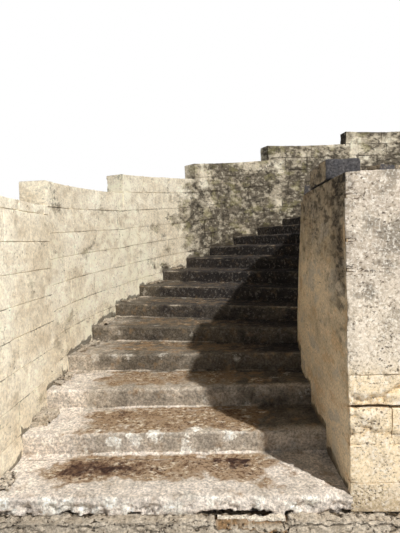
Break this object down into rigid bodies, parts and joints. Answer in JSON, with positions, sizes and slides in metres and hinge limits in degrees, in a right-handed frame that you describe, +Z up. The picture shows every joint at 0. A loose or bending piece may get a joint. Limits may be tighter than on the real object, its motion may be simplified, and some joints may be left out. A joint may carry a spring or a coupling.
{
  "type": "outdoor stone steps",
  "caption": "Outdoor stone stair with a straight lower flight that winds to the right between stepped block retaining walls, on a rubble footing.",
  "frame": {"origin": "on the ground at the foot of the first riser, midway between the two walls", "axes": "+Z up; +Y up the straight part of the stair; +X to the right, towards the inside of the bend"},
  "size_m": [5.4923, 6.205, 3.6122],
  "materials": {
    "step_stone": "weathered grey-beige stone with lichen and brown moss",
    "mortar": "pale rough mortar",
    "front_wall_stone": "pitted cream limestone blocks, worn deeper at the foot",
    "inner_wall_stone": "tan limestone with dark rain streaks",
    "outer_wall_stone": "cream limestone blocks mottled with grey lichen",
    "rubble": "rough rubble set in mortar"
  },
  "bodies": {
    "root": {"footing": "rubble", "riser_fillets": "mortar", "front_wall": "front_wall_stone", "step_01": "step_stone", "step_02": "step_stone", "step_03": "step_stone", "step_04": "step_stone", "step_05": "step_stone", "step_06": "step_stone", "step_07": "step_stone", "step_08": "step_stone", "step_09": "step_stone", "step_10": "step_stone", "step_11": "step_stone", "step_12": "step_stone", "step_13": "step_stone", "step_14": "step_stone", "step_15": "step_stone", "step_16": "step_stone", "step_17": "step_stone", "rubble_core_1": "rubble", "rubble_core_2": "rubble", "rubble_core_3": "rubble", "rubble_core_4": "rubble", "rubble_core_5": "rubble", "rubble_core_6": "rubble", "outer_wall_straight": "outer_wall_stone", "outer_wall_tier_1": "outer_wall_stone", "outer_wall_tier_2": "outer_wall_stone", "outer_wall_tier_3": "outer_wall_stone", "outer_wall_tier_4": "outer_wall_stone", "outer_wall_tier_5": "outer_wall_stone", "inner_wall_straight": "inner_wall_stone", "inner_wall_end_block": "inner_wall_stone", "inner_wall_tier_1": "inner_wall_stone", "inner_wall_tier_2": "inner_wall_stone", "inner_wall_tier_3": "inner_wall_stone", "inner_wall_tier_4": "inner_wall_stone", "inner_wall_tier_5": "inner_wall_stone"}
  },
  "joints": []
}
